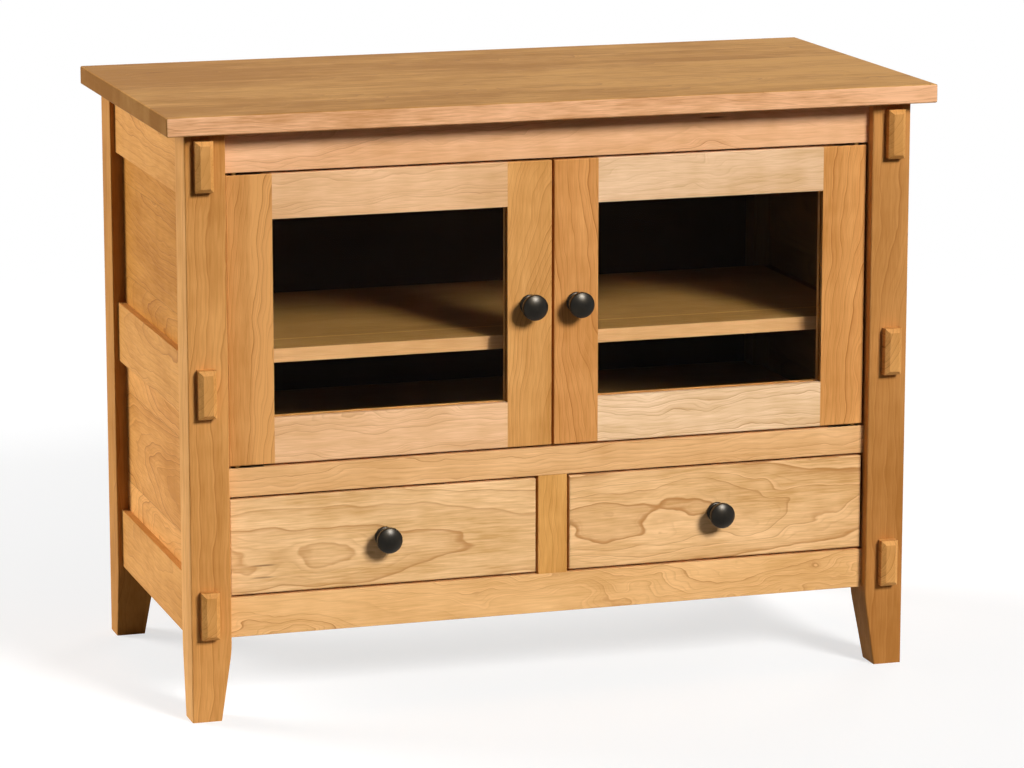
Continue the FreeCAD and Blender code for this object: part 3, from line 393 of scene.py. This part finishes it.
# Door frames: each stile and rail from its own board
stileLook = {"Pith Side": 0.08, "Pith Depth": 0.08, "Line": 0.9, "Even": 0.25, "Mottle": 1.8, "Wander": 0.05}
doorRailLook = {"Pith Side": 0.07, "Pith Depth": 0.05, "Line": 1.0, "Wiggle": 0.022, "Wander": 0.04}
doorTones = {"left": {"hinge_stile": (204, 144, 80), "lock_stile": (213, 153, 86),
                      "top_rail": (229, 181, 132), "bottom_rail": (235, 186, 137)},
             "right": {"hinge_stile": (212, 148, 82), "lock_stile": (213, 148, 83),
                       "top_rail": (231, 190, 146), "bottom_rail": (238, 199, 154)}}
hingeStiles = {"left": {"Lean": 0.08, "Sapwood": 0.8}, "right": {"Lean": 0.08, "Sapwood": 0.0}}
lockStiles = {"left": {"Lean": 0.22}, "right": {"Lean": -0.1}}
for hand, tones in doorTones.items():
    tones = {board: cherryTone(*tone) for board, tone in tones.items()}
    finishWood(f"{hand}_door_hinge_stile", "zy", stileLook | tones["hinge_stile"] | hingeStiles[hand])
    finishWood(f"{hand}_door_lock_stile", "zy", stileLook | tones["lock_stile"] | lockStiles[hand])
    finishWood(f"{hand}_door_top_rail", "xy", doorRailLook | tones["top_rail"])
    finishWood(f"{hand}_door_bottom_rail", "xy", doorRailLook | tones["bottom_rail"])
    finishWood(f"{hand}_door_glass_stops", "xy", tones["lock_stile"])

# Drawer fronts: flat-sawn boards, so the rings loop where the face grazes them
frontLook = {"Pith Depth": 0.07, "Line": 0.85, "Even": 0.55, "Gum": 0.06, "Mottle": 1.9, "Streak": 1.6}
leftFront = {"Seed": 61.0, "Ring Width": 0.0105, "Pith Side": -0.02, "Bow": 0.45, "Bow At": -0.07,
             "Wiggle": 0.012, "Wander": 0.015}
# painted light and shade: the right front's tone slopes along its grain
rightFront = {"Seed": 90.5, "Ring Width": 0.0075, "Pith Side": -0.004, "Bow": 0.35, "Bow At": 0.02,
              "Wiggle": 0.016, "Wander": 0.02, "Pale Line": 0.6, "Fade": 0.9}
finishWood("left_drawer_front", "xy", frontLook | cherryTone(230, 184, 128) | leftFront)
finishWood("right_drawer_front", "xy", frontLook | cherryTone(228, 180, 123) | rightFront)

# Insides: cherry shelf and floor, maple drawer boxes and bearers, plywood bottoms, a dark back
mapleLook = {"Pale Wood": paint(232, 210, 176), "Deep Wood": paint(218, 190, 150),
             "Ring Wood": paint(196, 162, 118), "Line": 0.3, "Gum": 0.01}
plyLook = {"Pale Wood": paint(226, 200, 160), "Deep Wood": paint(208, 176, 130),
           "Ring Wood": paint(180, 142, 96), "Ring Width": 0.009, "Pith Side": 0.0, "Pith Depth": 0.05,
           "Wander": 0.08, "Line": 0.4, "Gum": 0.0}
backTones = {"Pale Wood": paint(70, 50, 34), "Deep Wood": paint(52, 36, 24), "Ring Wood": paint(38, 26, 18)}
hiddenLook = cherryTone(206, 145, 82)
# painted shade: the tops of the shelf and the cabinet floor are deeper than their front and back edges, as
# shade lies in the bay
shelfShadedTone, shelfEdgeTone = (150, 109, 57), (202, 151, 102)
shelfLook = cherryTone(*shelfShadedTone) | {"Plank Width": 0.2, "Plank Shift": 0.06, "Line": 0.4}
shelfEdge = {"axis": "Y", "tint": tint(shelfShadedTone, shelfEdgeTone)}
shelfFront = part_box("adjustable_shelf")[0].y
lipSeam = {"limits": {"Y": (shelfFront + 0.061, shelfFront + 0.064)},
           "tint": (1.75, 1.75, 1.8, 1.0)}    # pale glue line
finishWood("adjustable_shelf", "xz", shelfLook, shelfEdge, lipSeam)
finishWood("cabinet_floor", "xz", shelfLook, shelfEdge)
finishWood("back_rails", "xy", hiddenLook)
finishWood("door_stop_cleat", "xy", hiddenLook)
finishWood("back_panel", "xy", plyLook | backTones)
finishWood("slide_bearers", "yx", mapleLook)
finishWood("slide_partition", "yx", mapleLook)
for hand in ("left", "right"):
    finishWood(f"{hand}_drawer_box_sides", "yx", mapleLook)
    finishWood(f"{hand}_drawer_box_ends", "xy", mapleLook)
    finishWood(f"{hand}_drawer_bottom", "xz", plyLook)
print("wood finished")


# Metals share one effect: fine scratches along a direction, blotches and wear

metalInputs = {"Vector": "Vector", "Grain": "Vector", "Base": "Color", "Worn": "Color", "Roughness": "Float",
               "Blotch": "Float"}
metalShape = {"blotch": (90.0, 90.0, 90.0), "wornRise": (0.35, 0.8), "scratchRough": 0.15, "bumpDepth": 0.0001}


def buildMetalSurface(shape):
    tree, given, result = newGroup(
        "metalSurface", metalInputs, {"Color": "Color", "Roughness": "Float", "Height": "Float"})
    scratch = {"Vector": stretch(tree, given["Vector"], given["Grain"]), "Scale": 1.0, "Detail": 3.0}
    scratch = newNode(tree, "ShaderNodeTexNoise", scratch).outputs["Fac"]
    blotch = noise(tree, given["Vector"], shape["blotch"], detail=3.0)["Fac"]
    worn = ramp(tree, blotch, *shape["wornRise"])
    feed(tree, result["Color"], mixColour(tree, worn, given["Base"], given["Worn"]))
    rough = scaleAdd(tree, aroundZero(tree, blotch), given["Blotch"], given["Roughness"])
    rough = scaleAdd(tree, aroundZero(tree, scratch), shape["scratchRough"], rough)
    feed(tree, result["Roughness"], rough)
    feed(tree, result["Height"], scratch)
    return tree


metalSurface = buildMetalSurface(metalShape)


def metalMaterial(name, look):
    material, tree, shader = newMaterial(name)
    surface = newNode(tree, "ShaderNodeGroup", node_tree=metalSurface)
    feed(tree, surface.inputs["Vector"], newNode(tree, "ShaderNodeTexCoord").outputs["Object"])
    for socket in ("Grain", "Base", "Worn", "Roughness", "Blotch"):
        feed(tree, surface.inputs[socket], look[socket])
    feed(tree, shader.inputs["Base Color"], surface.outputs["Color"])
    feed(tree, shader.inputs["Roughness"], surface.outputs["Roughness"])
    bump = newNode(tree, "ShaderNodeBump", {"Height": surface.outputs["Height"], "Strength": look["bump"],
                                            "Distance": metalShape["bumpDepth"]})
    feed(tree, shader.inputs["Normal"], bump.outputs["Normal"])
    shader.inputs["Metallic"].default_value = 1.0
    for socket, value in look.get("lacquer", {}).items():
        shader.inputs[socket].default_value = value
    return material


bronzeLook = {"Base": paint(22, 18, 11), "Worn": paint(33, 27, 17), "Roughness": 0.4, "Blotch": 0.15,
              "Grain": (400.0, 400.0, 400.0), "bump": 0.05,
              "lacquer": {"Coat Weight": 1.0, "Coat IOR": 1.23, "Coat Roughness": 0.35}}
zincLook = {"Base": paint(176, 180, 182), "Worn": paint(196, 198, 196), "Roughness": 0.34, "Blotch": 0.2,
            "Grain": (900.0, 12.0, 900.0), "bump": 0.08}
brassLook = {"Base": paint(112, 84, 46), "Worn": paint(142, 110, 62), "Roughness": 0.42, "Blotch": 0.2,
             "Grain": (12.0, 900.0, 900.0), "bump": 0.08}
bronze = metalMaterial("darkBronze", bronzeLook)
zinc = metalMaterial("zincSteel", zincLook)
brass = metalMaterial("agedBrass", brassLook)
for part in ("slide_channels", "shelf_pins", "door_catches"):
    putOn(part, zinc)
putOn("hinge_pivots", brass)
for hand in ("left", "right"):
    putOn(f"{hand}_door_knob", bronze)
    putOn(f"{hand}_drawer_knob", bronze)
    putOn(f"{hand}_door_hinge_leaves", brass)
    putOn(f"{hand}_drawer_inner_slides", zinc)
    putOn(f"{hand}_drawer_middle_slides", zinc)


# Glass: clear, lets the lamps through, with a breath of dust in its roughness

glassLook = {"tint": (0.98, 1.0, 0.985, 1.0), "bend": 1.1, "passing": (0.79, 0.81, 0.795, 1.0),
             "smear": (14.0, 14.0, 5.0), "smearRise": (0.4, 0.8), "smearRough": 0.03}


def glassMaterial(look):
    material, tree, shader = newMaterial("clearGlass")
    shader.inputs["Base Color"].default_value = look["tint"]
    shader.inputs["IOR"].default_value = look["bend"]
    shader.inputs["Transmission Weight"].default_value = 1.0
    objectPlace = newNode(tree, "ShaderNodeTexCoord").outputs["Object"]
    smear = noise(tree, objectPlace, look["smear"], detail=3.0)["Fac"]
    feed(tree, shader.inputs["Roughness"], ramp(tree, smear, *look["smearRise"], 0.0, look["smearRough"]))
    clear = newNode(tree, "ShaderNodeBsdfTransparent", {"Color": look["passing"]})
    mix = newNode(tree, "ShaderNodeMixShader")
    feed(tree, mix.inputs[0], newNode(tree, "ShaderNodeLightPath").outputs["Is Shadow Ray"])
    feed(tree, mix.inputs[1], shader.outputs["BSDF"])
    feed(tree, mix.inputs[2], clear.outputs["BSDF"])
    feed(tree, tree.nodes["Material Output"].inputs["Surface"], mix.outputs["Shader"])
    return material


glass = glassMaterial(glassLook)
for hand in ("left", "right"):
    putOn(f"{hand}_door_glass", glass)
print("metal and glass finished")


# Screws and brads: one tree sets a cross-slotted head on every point, facing along the point's own direction

screwSize = {"Head Radius": 0.004, "Head Height": 0.0018, "Slot Width": 0.0009, "Seed": 7}
screwShape = {"corners": 20, "rings": 2,
              "crown": 0.72, "slotLong": 1.15, "slotDeep": 1.1}    # shares of the head
panHead, thinHead = (1.0, 1.0, 1.0), (1.0, 1.0, 0.35)    # shares of the head's radius and height
leafHead, stopHead = (0.7, 0.7, 0.12), (0.5, 0.5, 0.5)


def buildScrewTree(shape):
    tree = bpy.data.node_groups.new("screwHeads", "GeometryNodeTree")
    tree.is_modifier = True
    for name, kind in (("Geometry", "Geometry"), ("Head Radius", "Float"), ("Head Height", "Float"),
                       ("Slot Width", "Float"), ("Seed", "Int"), ("Finish", "Material")):
        tree.interface.new_socket(name, in_out="INPUT", socket_type="NodeSocket" + kind)
    tree.interface.new_socket("Geometry", in_out="OUTPUT", socket_type="NodeSocketGeometry")
    given = tree.nodes.new("NodeGroupInput").outputs
    crown = calc(tree, "MULTIPLY", given["Head Radius"], shape["crown"])
    head = newNode(tree, "GeometryNodeMeshCone", {
        "Vertices": shape["corners"], "Side Segments": shape["rings"], "Radius Top": crown,
        "Radius Bottom": given["Head Radius"], "Depth": given["Head Height"]})
    slotLong = calc(tree, "MULTIPLY", given["Head Radius"], shape["slotLong"])
    slotDeep = calc(tree, "MULTIPLY", given["Head Height"], shape["slotDeep"])
    slotted = newNode(tree, "GeometryNodeMeshBoolean", {"Mesh 1": head.outputs["Mesh"]}, operation="DIFFERENCE")
    for size in ((slotLong, given["Slot Width"]), (given["Slot Width"], slotLong)):
        arm = newNode(tree, "GeometryNodeMeshCube", {"Size": joinXyz(tree, *size, slotDeep)})
        raised = newNode(tree, "GeometryNodeTransform", {
            "Geometry": arm.outputs["Mesh"], "Translation": joinXyz(tree, 0.0, 0.0, given["Head Height"])})
        tree.links.new(raised.outputs["Geometry"], slotted.inputs["Mesh 2"])
    facing = newNode(tree, "GeometryNodeInputNamedAttribute", {"Name": "facing"}, data_type="FLOAT_VECTOR")
    aimed = {"Vector": facing.outputs["Attribute"]}
    aimed = newNode(tree, "FunctionNodeAlignRotationToVector", aimed, axis="Z")
    angle = newNode(tree, "FunctionNodeRandomValue", data_type="FLOAT")
    angle.inputs[3].default_value = math.pi    # the largest angle
    tree.links.new(given["Seed"], angle.inputs["Seed"])
    spin = {"Axis": (0.0, 0.0, 1.0), "Angle": angle.outputs[1]}
    spin = newNode(tree, "FunctionNodeAxisAngleToRotation", spin)
    turned = {"Rotation": aimed.outputs["Rotation"], "Rotate By": spin.outputs["Rotation"]}
    turned = newNode(tree, "FunctionNodeRotateRotation", turned, rotation_space="LOCAL")
    share = newNode(tree, "GeometryNodeInputNamedAttribute", {"Name": "share"}, data_type="FLOAT_VECTOR")
    placed = newNode(tree, "GeometryNodeInstanceOnPoints", {
        "Points": given["Geometry"], "Instance": slotted.outputs["Mesh"],
        "Rotation": turned.outputs["Rotation"], "Scale": share.outputs["Attribute"]})
    real = newNode(tree, "GeometryNodeRealizeInstances", {"Geometry": placed.outputs["Instances"]})
    finished = newNode(tree, "GeometryNodeSetMaterial", {
        "Geometry": real.outputs["Geometry"], "Material": given["Finish"]})
    tree.links.new(finished.outputs["Geometry"], tree.nodes.new("NodeGroupOutput").inputs["Geometry"])
    return tree


screwTree = buildScrewTree(screwShape)


def driveScrews(name, body, finish, spots):    # a spot is a place, the way its head faces and its size
    points = bpy.data.meshes.new(name)
    points.from_pydata([place for place, facing, share in spots], [], [])
    for attribute, index in (("facing", 1), ("share", 2)):
        values = points.attributes.new(attribute, "FLOAT_VECTOR", "POINT").data
        for value, spot in zip(values, spots):
            value.vector = spot[index]
    holder = bpy.data.objects.new(name + "_points", points)
    scene.collection.objects.link(holder)
    modifier = holder.modifiers.new("screws", "NODES")
    modifier.node_group = screwTree
    for item in screwTree.interface.items_tree:
        if item.in_out == "INPUT" and item.name in screwSize:
            modifier[item.identifier] = screwSize[item.name]
        elif item.name == "Finish":
            modifier[item.identifier] = finish
    graph = bpy.context.evaluated_depsgraph_get()
    mesh = bpy.data.meshes.new_from_object(holder.evaluated_get(graph))
    bpy.data.objects.remove(holder)
    screws = bpy.data.objects.new(name, mesh)
    scene.collection.objects.link(screws)
    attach(screws, body)


toRight, toLeft, toBack, up, down = (1, 0, 0), (-1, 0, 0), (0, 1, 0), (0, 0, 1), (0, 0, -1)

# Carcass: the stop cleat, the outer slides and the leaves of the hinge pivots
carcassRows = {"cleat": (-0.075, 0.0, 0.075), "cleatRise": 0.746, "channel": (-0.164, 0.0, 0.136)}
slideRows = {"sheet": 0.0013, "rise": 0.23125, "inner": (-0.15, 0.0, 0.15)}
pivotRows = {"leaf": (0.405, 0.420), "line": -0.2193, "low": 0.338, "high": 0.7314}
sheet, rise = slideRows["sheet"], slideRows["rise"]
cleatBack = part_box("door_stop_cleat")[1].y
wallLeft, wallRight = (corner.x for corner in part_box("slide_channels"))
partLeft, partRight = (corner.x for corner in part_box("slide_partition"))
channelFaces = ((wallLeft + sheet, toRight), (partLeft - sheet, toLeft),
                (partRight + sheet, toRight), (wallRight - sheet, toLeft))
carcassSpots = [((x, cleatBack, carcassRows["cleatRise"]), toBack, panHead) for x in carcassRows["cleat"]]
carcassSpots += [((x, y, rise), way, thinHead) for x, way in channelFaces for y in carcassRows["channel"]]
driveScrews("carcass_screws", "carcass", zinc, carcassSpots)
pivotSpots = [((side * x, pivotRows["line"], z), way, leafHead) for side in (-1, 1) for x in pivotRows["leaf"]
              for z, way in ((pivotRows["low"], up), (pivotRows["high"], down))]
driveScrews("pivot_screws", "carcass", brass, pivotSpots)

# Doors: the hinge leaves, the glass stops and the knob. Drawers: the knob, the front and the inner slides
stopRows = {"strip": 0.00475,    # half a stop's width
            "upright": (-0.095, 0.0, 0.095), "level": (-0.11, 0.0, 0.11)}
frontRows = {"thick": 0.015, "along": (-0.15, 0.15), "up": (-0.025, 0.025)}
for hand, side in (("left", -1), ("right", 1)):
    doorLow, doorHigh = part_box(f"{hand}_door_hinge_stile")
    stopLow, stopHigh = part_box(f"{hand}_door_glass_stops")
    knobLow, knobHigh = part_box(f"{hand}_door_knob")
    knobPlace = (knobLow + knobHigh) / 2
    leafSpots = [((side * x, pivotRows["line"], z), way, leafHead) for x in pivotRows["leaf"]
                 for z, way in ((doorLow.z, down), (doorHigh.z, up))]
    strip = stopRows["strip"]
    stopMiddle = (stopLow + stopHigh) / 2
    stopSpots = [((x, stopHigh.y, stopMiddle.z + step), toBack, stopHead)
                 for x in (stopLow.x + strip, stopHigh.x - strip) for step in stopRows["upright"]]
    stopSpots += [((stopMiddle.x + step, stopHigh.y, z), toBack, stopHead)
                  for z in (stopLow.z + strip, stopHigh.z - strip) for step in stopRows["level"]]
    driveScrews(f"{hand}_door_brass_screws", f"{hand}_door", brass, leafSpots + stopSpots)
    knobSpot = ((knobPlace.x, doorHigh.y, knobPlace.z), toBack, panHead)
    driveScrews(f"{hand}_door_knob_screw", f"{hand}_door", zinc, [knobSpot])

    boxLow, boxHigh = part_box(f"{hand}_drawer_box_sides")
    middle, inside = (boxLow.x + boxHigh.x) / 2, boxLow.y + frontRows["thick"]
    boxFaces = ((boxLow.x - sheet, toLeft), (boxHigh.x + sheet, toRight))
    drawerSpots = [((middle, inside, rise), toBack, panHead)]
    drawerSpots += [((middle + step, inside, rise + lift), toBack, panHead)
                    for step in frontRows["along"] for lift in frontRows["up"]]
    drawerSpots += [((x, y, rise), way, panHead) for x, way in boxFaces for y in slideRows["inner"]]
    driveScrews(f"{hand}_drawer_screws", f"{hand}_drawer", zinc, drawerSpots)
print("screws driven")


# Floor, backdrop light and lamps

floorLook = {"reach": 14.0, "colour": (0.4, 0.4, 0.4, 1.0), "rough": 0.9, "lift": 0.66, "fade": (1.2, 3.2),
             "bounce": (0.5, 1.9)}    # metres from the middle
skyLook = {"ambient": 0.06}
white, black = (1.0, 1.0, 1.0, 1.0), (0.0, 0.0, 0.0, 1.0)
lampAim = Vector((0.0, 0.0, 0.45))


def seenDirectly(tree):    # by the camera, or in the first reflection or through the first pane
    path = newNode(tree, "ShaderNodeLightPath").outputs
    seen = calc(tree, "MAXIMUM", path["Is Glossy Ray"], path["Is Transmission Ray"])
    seen = calc(tree, "MAXIMUM", path["Is Camera Ray"], seen)
    seen = calc(tree, "MULTIPLY", seen, calc(tree, "LESS_THAN", path["Diffuse Depth"], 0.5))
    return calc(tree, "MULTIPLY", seen, calc(tree, "LESS_THAN", path["Ray Depth"], 2.5))


def buildFloor(look):
    reach = look["reach"]
    corners = [(-reach, -reach, 0), (reach, -reach, 0), (reach, reach, 0), (-reach, reach, 0)]
    mesh = bpy.data.meshes.new("studioFloor")
    mesh.from_pydata(corners, [], [(0, 1, 2, 3)])
    floor = bpy.data.objects.new("studioFloor", mesh)
    scene.collection.objects.link(floor)
    material, tree, shader = newMaterial("studioFloor")
    shader.inputs["Roughness"].default_value = look["rough"]
    shader.inputs["Specular IOR Level"].default_value = 0.0
    shader.inputs["Emission Color"].default_value = white
    objectPlace = newNode(tree, "ShaderNodeTexCoord").outputs["Object"]
    away = newNode(tree, "ShaderNodeVectorMath", operation="LENGTH")
    feed(tree, away.inputs[0], objectPlace)
    fade = ramp(tree, away.outputs["Value"], *look["fade"])    # plain white further out
    lift = scaleAdd(tree, fade, 1.0 - look["lift"], look["lift"])
    seen = seenDirectly(tree)
    feed(tree, shader.inputs["Emission Strength"], calc(tree, "MULTIPLY", seen, lift))
    bounce = ramp(tree, away.outputs["Value"], *look["bounce"])    # only the floor near the object lights it
    unseen = calc(tree, "MULTIPLY", calc(tree, "SUBTRACT", 1.0, seen), bounce)
    dull = calc(tree, "SUBTRACT", 1.0, scaleAdd(tree, seen, fade, unseen))
    feed(tree, shader.inputs["Base Color"], mixColour(tree, dull, black, look["colour"]))
    mesh.materials.append(material)


def buildWorld(look):
    world = bpy.data.worlds.new("studio")
    scene.world = world
    world.use_nodes = True
    tree = world.node_tree
    background = tree.nodes["Background"]
    background.inputs["Color"].default_value = white
    strength = scaleAdd(tree, seenDirectly(tree), 1.0 - look["ambient"], look["ambient"])
    feed(tree, background.inputs["Strength"], strength)


def addLamp(name, lamp):
    light = bpy.data.lights.new(name, "AREA")
    light.shape = "DISK"
    light.size = lamp["size"]
    light.energy = lamp["power"]
    holder = bpy.data.objects.new(name, light)
    towards = Vector(lamp["towards"]).normalized()
    holder.location = lampAim + towards * lamp["away"]
    holder.rotation_euler = towards.to_track_quat("Z", "Y").to_euler()
    holder.visible_glossy = lamp.get("glossy", False)
    if lamp.get("glossy"):    # lights no wood, straight or through the glass
        holder.visible_diffuse = holder.visible_transmission = False
        light.use_nodes = True
        tree = light.node_tree
        path = newNode(tree, "ShaderNodeLightPath").outputs
        shown = calc(tree, "LESS_THAN", path["Diffuse Depth"], 0.5)
        feed(tree, tree.nodes["Emission"].inputs["Strength"], shown)
    scene.collection.objects.link(holder)


buildFloor(floorLook)
buildWorld(skyLook)
addLamp("keyLamp", {"towards": (0.324, -0.811, 0.487), "away": 14.0, "size": 4.0, "power": 2070.0})
addLamp("leftLamp", {"towards": (-0.74, 0.62, 0.25), "away": 6.0, "size": 3.4, "power": 405.0})
addLamp("rearLamp", {"towards": (0.65, 0.76, 0.0), "away": 6.0, "size": 2.8, "power": 250.0})
addLamp("glossLamp", {"towards": (0.177, -0.618, 0.766), "away": 6.0, "size": 2.4, "power": 1250.0,
                      "glossy": True})    # only for the highlights on metal

cameraView = {"place": (-1.7505, -5.5942, 1.604), "turn": 17.505, "tilt": 11.801, "lens": 151.13,
              "reach": 100.0}
camera = bpy.data.objects.new("camera", bpy.data.cameras.new("camera"))
camera.location = cameraView["place"]
camera.rotation_euler = (math.radians(90 - cameraView["tilt"]), 0.0, math.radians(-cameraView["turn"]))
camera.data.lens = cameraView["lens"]
camera.data.clip_end = cameraView["reach"]
scene.collection.objects.link(camera)
scene.camera = camera
print("stage, lamps and camera set")
